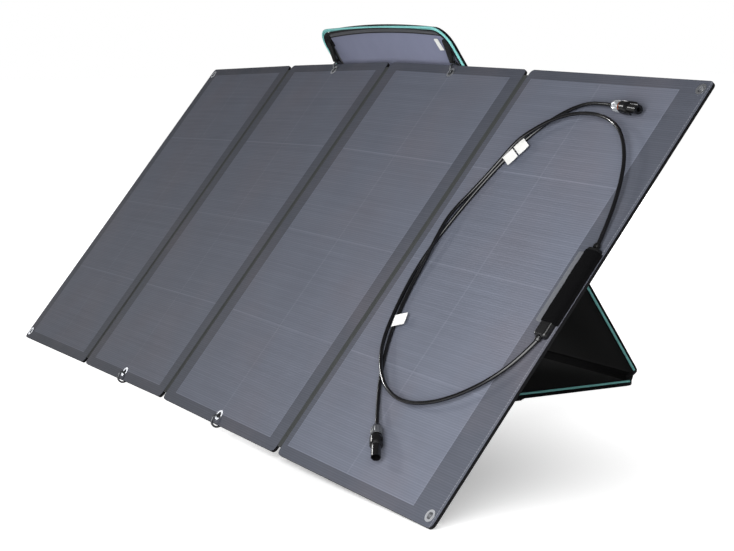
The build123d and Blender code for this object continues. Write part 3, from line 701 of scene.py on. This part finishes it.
def caseTray(half):
    far = caseValues["length"] - caseValues["arch"]
    thing = grid(f"{half}Tray", 46, 80, caseValues["width"], 0, far)
    roundOutline(thing, caseValues["width"] / 2, 0, far, caseValues["corner"], caseValues["heel"], caseValues["arch"])
    notch = caseValues["spineWidth"] / 2
    pickBorder(thing, lambda a, b: max(a.y, b.y) < 0.0005 and max(abs(a.x), abs(b.x)) < notch + 0.001)
    bpy.ops.object.mode_set(mode="EDIT")
    bpy.ops.mesh.select_mode(type="EDGE")
    for step in range(3):
        bpy.ops.mesh.extrude_edges_move(TRANSFORM_OT_translate={"value": (0, 0, caseValues["depth"] / 3)})
    bpy.ops.object.mode_set(mode="OBJECT")
    faceOut(thing)
    soften(thing, trayValues["fold"], segments=3)
    modify(thing, "SOLIDIFY", thickness=trayValues["cloth"], offset=-1)
    bulge = trayValues["bulge"][half]
    lean = trayValues["lean"][half]
    for vertex in thing.data.vertices:  # the far wall leans in below its rim
        share = max(0.0, min(1.0, (vertex.co.y - far + trayValues["leanFrom"]) / trayValues["leanFrom"]))
        vertex.co.y -= lean * share * max(0.0, 1 - vertex.co.z / caseValues["depth"])
    if bulge:
        for vertex in thing.data.vertices:
            x, y, z = vertex.co
            if z < 0.004:
                crown = max(0.0, 1 - (2 * x / caseValues["width"]) ** 4) * max(0.0, sin(pi * min(1, y / far)))
                vertex.co.z -= bulge * crown
        ripple(thing, 0.07, trayValues["ripple"], 3.0, lambda place: 1 if place.z < 0.003 else 0)
    paint(thing, [caseCloth])
    smooth(thing)
    settle(thing, halfFrame[half])
    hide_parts(f"case_{half}_shell")
    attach(thing, f"case_{half}")


def caseLining(half):
    inset = liningValues["inset"]
    width = caseValues["width"] - 2 * inset
    near = inset
    far = caseValues["length"] - caseValues["arch"] - inset
    thing = grid(f"{half}Lining", 60, 100, width, near, far)
    corner = caseValues["corner"] - inset
    roundOutline(thing, width / 2, near, far, corner, caseValues["heel"] - inset, caseValues["arch"])
    ripple(thing, 0.09, 0.00022, 8.0 if half == "rear" else 12.0)
    for vertex in thing.data.vertices:
        vertex.co.z += liningValues["height"]
    flatMap(thing)
    modify(thing, "SOLIDIFY", thickness=liningValues["thick"], offset=1)
    soften(thing, 0.0002)
    paint(thing, [liningBanded if half == "rear" else baseLining])
    smooth(thing)
    settle(thing, halfFrame[half])
    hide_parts(f"case_{half}_lining")
    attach(thing, f"case_{half}")


def casePiping(half):
    points = rimPoints(pipingValues["outset"], pipingValues["height"], caseValues["heel"])
    cover = asMesh(pathCurve(f"{half}Piping", points, bevel=pipingValues["radius"], rounds=4))
    inner = rimPoints(pipingValues["flange"], pipingValues["height"] - 0.0004, caseValues["heel"])
    flange = ribbon(f"{half}PipingFlange", inner, pipingValues["flange"], pipingValues["flangeThick"])
    thing = joined(cover, flange)
    paint(thing, [pipingClothWithHighlight])
    smooth(thing, 60)
    settle(thing, halfFrame[half])
    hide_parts(f"case_{half}_piping")
    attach(thing, f"case_{half}")


def caseZip(half):
    middle = zipValues["low"] + zipValues["height"] / 2
    points = rimPoints(0.00045, middle, zipValues["endGap"])
    tape = ribbon(f"{half}ZipTape", points, zipValues["height"] - 0.0008, zipValues["thick"] * 0.75)
    paint(tape, [tapeCloth])
    coil = rimPoints(0.0012, zipValues["low"] + zipValues["height"] - 0.0011, zipValues["endGap"] + 0.002)
    teeth = copyAlong(f"{half}ZipTeeth", (0.0011, 0.0009, 0.0016), zipValues["toothPitch"], coil)
    paint(teeth, [blackPlastic])
    thing = joined(tape, teeth)
    settle(thing, halfFrame[half])
    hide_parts(f"case_{half}_zip_tape")
    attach(thing, f"case_{half}")


for half in ("base", "rear"):
    caseTray(half)
    caseLining(half)
    casePiping(half)
    caseZip(half)
print("case halves")

# spine cloth, bent about the hinge line with three soft pleats

spineValues = {"first": -86.0, "last": 31.0, "middle": 0.01125, "pleat": 0.00025, "thick": 0.0011}
spine = grid("spineCloth", 40, 36, 0.366, 0, 1)
for vertex in spine.data.vertices:
    share = vertex.co.y
    turn = radians(spineValues["first"] + (spineValues["last"] - spineValues["first"]) * share)
    reach = spineValues["middle"] + spineValues["pleat"] * sin(share * 6 * pi) * sin(share * pi)
    vertex.co = (vertex.co.x, hinge.y + reach * cos(turn), hinge.z + reach * sin(turn))
modify(spine, "SOLIDIFY", thickness=spineValues["thick"], offset=0)
soften(spine, 0.0003)
paint(spine, [bindingCloth])
smooth(spine)
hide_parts("case_spine_cloth")
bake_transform(spine)

# fold cloths between the leaves, creased along the middle

foldValues = {"reach": 0.0057, "inset": 0.010, "thick": 0.0009, "crease": 0.0007}
folds = {
    "Left": (1, 2, 0.0, -0.3925, "fold_cloth_left", foldLeft),
    "Centre": (2, 3, 0.0, 0.0, "fold_cloth_centre", foldCentre),
    "Right": (3, 4, 0.3925, 0.0, "fold_cloth_right", foldRight),
}
for name, (first, second, atFirst, atSecond, node, pivot) in folds.items():
    left = leafFrame[first] @ Vector((atFirst - foldValues["reach"], 0, -0.0001))
    right = leafFrame[second] @ Vector((atSecond + foldValues["reach"], 0, -0.0001))
    width = (right - left).length
    length = leafValues["height"] - 2 * foldValues["inset"]
    strip = grid(f"foldCloth{name}", 12, 90, width, foldValues["inset"], foldValues["inset"] + length)
    for vertex in strip.data.vertices:
        across = abs(vertex.co.x) / (width / 2)
        vertex.co.z = -foldValues["crease"] * (1 - across) ** 2 + 0.00012 * noise.noise(vertex.co * 60)
        end = min(vertex.co.y - foldValues["inset"], foldValues["inset"] + length - vertex.co.y)
        vertex.co.x *= 1 - 0.25 * max(0.0, 1 - end / 0.004) ** 2
        vertex.co.x += width / 2
    modify(strip, "SOLIDIFY", thickness=foldValues["thick"], offset=-1)
    if max(vertex.co.z for vertex in strip.data.vertices) > 0.0004:
        raise SystemExit("fold cloth stands above the leaves")
    flatMap(strip)
    paint(strip, [foldCloth])
    smooth(strip)
    settle(strip, frameOf(left, (right - left).normalized(), slopeUp))
    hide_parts(node)
    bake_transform(strip)
print("spine and folds")

# webbing ties with a sewn end

tieValues = {
    "width": 0.010,
    "thick": 0.0011,
    "bend": 0.0024,
    "eye": 0.0128,
    "spread": 0.6,
    "waist": 0.55,
    "tabWidth": 0.016,
    "tabNear": -0.007,
    "tabFar": 0.016,
}
tieAnchors = {
    "top_right": (3, 0.196, 0.675, 0.694),
    "top_left": (2, -0.196, 0.675, 0.694),
    "bottom_right": (3, 0.196, 0.005, None),
    "bottom_left": (2, -0.196, 0.005, None),
}


def tieTurn(middle, start):
    turns = [start + pi * step / 12 for step in range(13)]
    return [(middle + tieValues["bend"] * cos(turn), tieValues["bend"] * sin(turn), 0) for turn in turns]


def tieRun(length, side):
    run = []
    for step in range(1, 10):
        share = step / 10
        waist = tieValues["bend"] * (1 - tieValues["waist"] * sin(pi * share))
        run.append((tieValues["eye"] + (length - tieValues["eye"]) * share, side * waist, 0))
    return run


for name, (leaf, across, up, anchorUp) in tieAnchors.items():
    centre = leafFrame[leaf] @ Vector((across, up, -0.0025))
    if anchorUp:
        anchor = halfFrame["rear"] @ Vector((centre.x, anchorUp, 0.0078))
    else:
        anchor = Vector((centre.x, -caseValues["length"] / 2 - 0.0053, caseValues["depth"] / 2))
    along = (anchor - centre).normalized()
    tieFrame = frameOf(centre, along, Vector((1, 0, 0)).cross(along))
    length = (anchor - centre).length
    points = tieTurn(tieValues["eye"], pi / 2) + tieRun(length, -1)
    points += tieTurn(length - 0.0004, -pi / 2) + tieRun(length, 1)[::-1]
    web = ribbon(f"webbing_{name}", points, tieValues["width"], tieValues["thick"], cyclic=True)
    for vertex in web.data.vertices:
        beyond = min(1.0, max(0.0, (vertex.co.x - tieValues["eye"]) / 0.012))
        vertex.co.z *= 1 + tieValues["spread"] * beyond
    paint(web, [webbingCloth])
    smooth(web, 50)
    settle(web, tieFrame)
    pieces = [web]
    if anchorUp:
        tab = grid("tab", 6, 12, tieValues["tabWidth"], tieValues["tabNear"], tieValues["tabFar"])
        roundOutline(tab, tieValues["tabWidth"] / 2, tieValues["tabNear"], tieValues["tabFar"], 0.001, 0.001, 0)
        modify(tab, "SOLIDIFY", thickness=tieValues["thick"], offset=1)
        paint(tab, [webbingCloth])
        place = halfFrame["rear"] @ Vector((centre.x, anchorUp - 0.0035, 0.0048))
        settle(tab, frameOf(place, Vector((1, 0, 0)), rearUp))
        pieces.append(tab)
    web = joined(*pieces)
    body = {"top_right": "leaf_3", "top_left": "leaf_2", "bottom_right": "case_base"}.get(name, "tie_bottom_left")
    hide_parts(f"tie_{name}_webbing")
    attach(web, body)
print("ties")

# padded handle grip, its ends sewn round the pins

gripValues = {
    "x": 0.21645,
    "height": 0.0049,
    "span": 0.228,
    "reach": 0.061,
    "band": 0.0215,
    "thick": 0.0086,
    "lift": 0.0042,
    "swell": 0.75,
    "loopAt": 0.10115,
    "loopLong": 0.0255,
    "loopRadius": 0.00435,
}
bow = ((gripValues["span"] / 2) ** 2 + gripValues["reach"] ** 2) / (2 * gripValues["reach"])
bowCentre = gripValues["x"] + gripValues["reach"] - bow
middle = bow - gripValues["band"] / 2 - 0.0003
halfTurn = acos((gripValues["x"] + 0.0062 - bowCentre) / middle)
bpy.ops.object.select_all(action="DESELECT")
bpy.ops.mesh.primitive_circle_add(
    vertices=24,
    radius=1,
    fill_type="NGON",
    location=(bowCentre + middle, 0, gripValues["height"]),
    rotation=(pi / 2, 0, 0),
)
grip = bpy.context.object
grip.name = "handleGrip"
grip.scale = (gripValues["band"] / 2, gripValues["thick"] / 2, 1)
applyPlace()
bpy.ops.object.mode_set(mode="EDIT")
bpy.ops.mesh.select_all(action="SELECT")
bpy.ops.transform.rotate(value=halfTurn, orient_axis="Z", center_override=(bowCentre, 0, gripValues["height"]))
bpy.ops.object.mode_set(mode="OBJECT")
side = -1 if grip.data.vertices[0].co.y > 0 else 1
bpy.ops.object.mode_set(mode="EDIT")
bpy.ops.mesh.select_all(action="SELECT")
bpy.ops.mesh.spin(
    steps=56, angle=2 * halfTurn, center=(bowCentre, 0, gripValues["height"]), axis=(0, 0, side)
)
bpy.ops.mesh.select_all(action="SELECT")
bpy.ops.mesh.normals_make_consistent(inside=False)
bpy.ops.object.mode_set(mode="OBJECT")
if max(abs(vertex.co.y) for vertex in grip.data.vertices) > 0.14:
    raise SystemExit("handle grip is swept the wrong way")
for vertex in grip.data.vertices:
    full = max(0.0, min(1.0, (0.085 - abs(vertex.co.y)) / 0.02))
    full = full * full * (3 - 2 * full)
    half = (vertex.co.z - gripValues["height"]) * (0.94 + gripValues["swell"] * full)
    vertex.co.z = gripValues["height"] + gripValues["lift"] * full + half
pieces = [grip]
for way in (1, -1):
    bpy.ops.object.select_all(action="DESELECT")
    bpy.ops.mesh.primitive_cylinder_add(
        radius=gripValues["loopRadius"],
        depth=gripValues["loopLong"],
        vertices=28,
        end_fill_type="NOTHING",
        location=(gripValues["x"], way * gripValues["loopAt"], gripValues["height"]),
        rotation=(pi / 2, 0, 0),
    )
    loop = bpy.context.object
    applyPlace()
    modify(loop, "SOLIDIFY", thickness=0.0020, offset=-1)
    soften(loop, 0.0004, angle=50)
    pieces.append(loop)
grip = joined(*pieces)
paint(grip, [webbingCloth])
smooth(grip, 50)
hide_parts("handle_grip")
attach(grip, "handle")
print("handle")

# sleeve over the junction box, sewn down by a pale flange

sleeveValues = {
    "left": 0.3687,
    "right": 0.3915,
    "top": 0.0104,
    "flange": 0.021,
    "thick": 0.00096,
    "from": 0.295,
    "to": 0.404,
}
# across the sleeve: place, height, and 1 where it lies flat
profile = [
    (sleeveValues["left"] - sleeveValues["flange"], 0.0004, 1),
    (sleeveValues["left"] - 0.0025, 0.0004, 1),
    (sleeveValues["left"] - 0.0008, 0.0014, 0),
    (sleeveValues["left"] - 0.0004, 0.0055, 0),
    (sleeveValues["left"] + 0.0008, 0.0088, 0),
    (sleeveValues["left"] + 0.0035, sleeveValues["top"], 0),
    ((sleeveValues["left"] + sleeveValues["right"]) / 2, sleeveValues["top"] + 0.0003, 0),
    (sleeveValues["right"] - 0.0030, sleeveValues["top"] - 0.0002, 0),
    (sleeveValues["right"] + 0.0003, 0.0088, 0),
    (sleeveValues["right"] + 0.0009, 0.0052, 0),
    (sleeveValues["right"] + 0.0012, 0.0016, 0),
    (sleeveValues["right"] + 0.0040, 0.0004, 0),
]
sleeve = grid("junctionSleeve", len(profile) - 1, 34, 1, sleeveValues["from"], sleeveValues["to"])
for vertex in sleeve.data.vertices:
    index = round((vertex.co.x + 0.5) * (len(profile) - 1))
    x, z, flat = profile[index]
    end = min(vertex.co.y - sleeveValues["from"], sleeveValues["to"] - vertex.co.y)
    crumple = 0 if flat else 0.0005 * noise.noise(Vector((x * 90, vertex.co.y * 70, z * 50)))
    vertex.co = (x + crumple, vertex.co.y, z + abs(crumple))
modify(sleeve, "SOLIDIFY", thickness=sleeveValues["thick"], offset=1)
modify(sleeve, "SUBSURF", levels=2, render_levels=2)
paint(
    sleeve,
    [wrapCloth, flangeCloth],
    lambda polygon: 1 if polygon.center.x < sleeveValues["left"] - 0.003 else 0,
)
smooth(sleeve, 60)
settle(sleeve, leafFrame[4])
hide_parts("junction_wrap")
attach(sleeve, "leaf_4")
print("sleeve")

# blank labels stuck over the leads, and the tag on the lining

labelValues = {"length": 0.019, "width": 0.025, "thick": 0.00025, "curl": 0.0011, "height": 0.0031}
labelSpots = [("lower", 15, 0.1, -0.011), ("lower", 15, 0.57, -0.011), ("upper", 17, 0.3, 0.0115)]
labels = []
for route, index, share, aside in labelSpots:
    first = Vector(leadValues[route][index]) / 1000
    second = Vector(leadValues[route][index + 1]) / 1000
    along = (second - first).normalized()
    place = first.lerp(second, share)
    across = Vector((0, 0, 1)).cross(along).normalized()
    local = frameOf(place, along, across)
    label = grid("label", 10, 16, labelValues["length"], -labelValues["width"] / 2, labelValues["width"] / 2)
    for vertex in label.data.vertices:
        away = vertex.co.y + aside
        wrapped = max(0.0, 1 - (away / 0.0045) ** 2)
        vertex.co.y = away
        lift = labelValues["curl"] * (vertex.co.x / (labelValues["length"] / 2)) ** 2 * (1 - wrapped) / 2
        vertex.co.z = labelValues["height"] + 0.0002 * wrapped + lift
    modify(label, "SOLIDIFY", thickness=labelValues["thick"], offset=1)
    label.data.transform(local)
    labels.append(label)
label = joined(*labels)
label.name = "leadLabels"
paint(label, [paper])
smooth(label)
settle(label, leafFrame[4])
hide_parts("lead_labels")
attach(label, "leaf_4")

tagValues = {"width": 0.012, "length": 0.022, "curl": 0.0009, "thick": 0.0003, "place": (0.1665, 0.6860, 0.0060)}
tagHalf, tagEnd = tagValues["width"] / 2, tagValues["length"] / 2
tag = grid("liningTag", 8, 14, tagValues["width"], -tagEnd, tagEnd)
roundOutline(tag, tagHalf, -tagEnd, tagEnd, 0.001, 0.001, 0)
for vertex in tag.data.vertices:
    vertex.co.z = tagValues["curl"] * (vertex.co.x / tagHalf) ** 2 * (0.5 + vertex.co.y / tagValues["length"])
modify(tag, "SOLIDIFY", thickness=tagValues["thick"], offset=1)
paint(tag, [paper])
smooth(tag)
settle(tag, frameOf(halfFrame["rear"] @ Vector(tagValues["place"]), Vector((1, 0, 0)), rearUp))
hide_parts("tie_tag")
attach(tag, "case_rear")
print("labels")

# bright ribbed nut and seal ring of the upper connector, and a grey nut on the lower one

connectorValues = {
    "nutRadius": 0.0081,
    "nutStart": 0.0078,
    "nutLength": 0.0135,
    "nutWall": 0.0009,
    "ribDepth": 0.00045,
    "ribs": 12,
    "ringAt": 0.0235,
    "ringRadius": 0.0063,
    "ringThick": 0.0011,
}


def connectorFrame(points):
    along = (points[-1] - points[-2]).normalized()
    out = leafFrame[4].to_3x3() @ Vector((0, 0, 1))
    level = (out - along * out.dot(along)).normalized()
    return frameOf(points[-1], level, along.cross(level))


def ribbedNut(name, points, material):
    middle = connectorValues["nutStart"] + connectorValues["nutLength"] / 2
    bpy.ops.object.select_all(action="DESELECT")
    bpy.ops.mesh.primitive_cylinder_add(
        radius=connectorValues["nutRadius"],
        depth=connectorValues["nutLength"],
        vertices=72,
        end_fill_type="NOTHING",
        location=(0, 0, middle),
    )
    nut = bpy.context.object
    nut.name = name
    applyPlace()
    bpy.ops.object.mode_set(mode="EDIT")
    bpy.ops.mesh.select_all(action="SELECT")
    bpy.ops.mesh.subdivide(number_cuts=3)
    bpy.ops.object.mode_set(mode="OBJECT")
    for vertex in nut.data.vertices:
        place = vertex.co
        reach = hypot(place.x, place.y)
        turn = acos(max(-1.0, min(1.0, place.x / reach)))
        low = place.z - connectorValues["nutStart"]
        end = min(low, connectorValues["nutLength"] - low)
        rib = connectorValues["ribDepth"] * cos(connectorValues["ribs"] * turn) * min(1.0, end / 0.002)
        rim = -0.0004 if end < 0.0002 else 0.0
        vertex.co.x *= (reach + rib + rim) / reach
        vertex.co.y *= (reach + rib + rim) / reach
    modify(nut, "SOLIDIFY", thickness=connectorValues["nutWall"], offset=-1)
    soften(nut, 0.0003, angle=50)
    paint(nut, [material])
    smooth(nut, 45)
    settle(nut, connectorFrame(points))
    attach(nut, "leaf_4")
    return nut


upperNut = ribbedNut("brightNut", lowerPoints, brightNylon)
lowerNut = ribbedNut("greyNut", upperPoints, greyNylon)
bpy.ops.object.select_all(action="DESELECT")
bpy.ops.mesh.primitive_torus_add(
    major_radius=connectorValues["ringRadius"],
    minor_radius=connectorValues["ringThick"],
    major_segments=48,
    minor_segments=12,
    location=(0, 0, connectorValues["ringAt"]),
)
sealPiece = bpy.context.object
sealPiece.name = "sealRing"
applyPlace()
paint(sealPiece, [sealRubber])
smooth(sealPiece, 60)
settle(sealPiece, connectorFrame(lowerPoints))
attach(sealPiece, "leaf_4")
print("connectors")

# background: floor and light

stageValues = {
    "floorColour": "#F4F4F4",
    "floorNear": 0.30,
    "floorFar": 0.95,
    "shadeCentre": (0.72, -0.38, 0),
    "shadeFrom": 0.15,
    "shadeTo": 0.8,
    "worldLight": 0.09,
    "worldMirrored": 0.14,
    "keyPlace": (-4.3, -2.1, 1.8),
    "keyPower": 72,
    "keySize": 0.5,
    "fillPlace": (1.45, -1.15, 0.45),
    "fillPower": 44,
    "fillSize": 1.4,
    "backPlace": (-2.4, 3.2, 1.9),
    "backPower": 95,
    "backSize": 2.2,
}
bpy.ops.object.select_all(action="DESELECT")
bpy.ops.mesh.primitive_plane_add(size=60, location=(0, 0, -0.0004))
floor = bpy.context.object
floor.name = "floor"
floorMaterial, floorTree, floorShader = newMaterial("whiteSweep")
floorShader.inputs["Base Color"].default_value = linear(stageValues["floorColour"])
floorShader.inputs["Roughness"].default_value = 0.9
floorShader.inputs["Specular IOR Level"].default_value = 0.0
floorShader.inputs["Emission Color"].default_value = (1, 1, 1, 1)
seenByCamera = add(floorTree, "ShaderNodeLightPath").outputs["Is Camera Ray"]
floorPlace = add(floorTree, "ShaderNodeTexCoord").outputs["Object"]
fromCentre = add(
    floorTree, "ShaderNodeVectorMath", {"operation": "SUBTRACT"}, i0=floorPlace, i1=stageValues["shadeCentre"]
).outputs[0]
floorReach = add(floorTree, "ShaderNodeVectorMath", {"operation": "LENGTH"}, i0=fromCentre).outputs["Value"]
farShare = add(
    floorTree,
    "ShaderNodeMapRange",
    {"interpolation_type": "SMOOTHSTEP"},
    Value=floorReach,
    From_Min=stageValues["shadeFrom"],
    From_Max=stageValues["shadeTo"],
    To_Min=stageValues["floorNear"],
    To_Max=stageValues["floorFar"],
)
floorGlow = maths(floorTree, "MULTIPLY", seenByCamera, farShare.outputs[0])
floorTree.links.new(floorGlow, floorShader.inputs["Emission Strength"])
floor.data.materials.append(floorMaterial)

if scene.world is None:
    scene.world = bpy.data.worlds.new("studio")
world = scene.world
world.use_nodes = True
worldTree = world.node_tree
worldTree.nodes.clear()
paths = add(worldTree, "ShaderNodeLightPath")
seen = add(worldTree, "ShaderNodeBackground", Color=(1, 1, 1, 1), Strength=1.0)
lit = add(worldTree, "ShaderNodeBackground", Color=(1, 1, 1, 1), Strength=stageValues["worldLight"])
mirrored = add(worldTree, "ShaderNodeBackground", Color=(1, 1, 1, 1), Strength=stageValues["worldMirrored"])
glossy, fromCamera = paths.outputs["Is Glossy Ray"], paths.outputs["Is Camera Ray"]
shiny = add(worldTree, "ShaderNodeMixShader", i0=glossy, i1=lit.outputs[0], i2=mirrored.outputs[0])
mixed = add(worldTree, "ShaderNodeMixShader", i0=fromCamera, i1=shiny.outputs[0], i2=seen.outputs[0])
add(worldTree, "ShaderNodeOutputWorld", Surface=mixed.outputs[0])


def areaLight(name, aim):
    place = stageValues[f"{name}Place"]
    bpy.ops.object.select_all(action="DESELECT")
    bpy.ops.object.light_add(type="AREA", location=place)
    lamp = bpy.context.object
    lamp.name = f"{name}Light"
    lamp.data.size = stageValues[f"{name}Size"]
    lamp.data.energy = stageValues[f"{name}Power"]
    lamp.rotation_euler = (Vector(aim) - Vector(place)).to_track_quat("-Z", "Y").to_euler()


areaLight("key", (0.2, 0, 0.3))
areaLight("fill", (0.2, 0, 0.3))
areaLight("back", (0.0, 0.2, 0.3))  # reaches only what faces away from the camera
scene.view_settings.view_transform = "Standard"
scene.view_settings.look = "None"
print("stage")
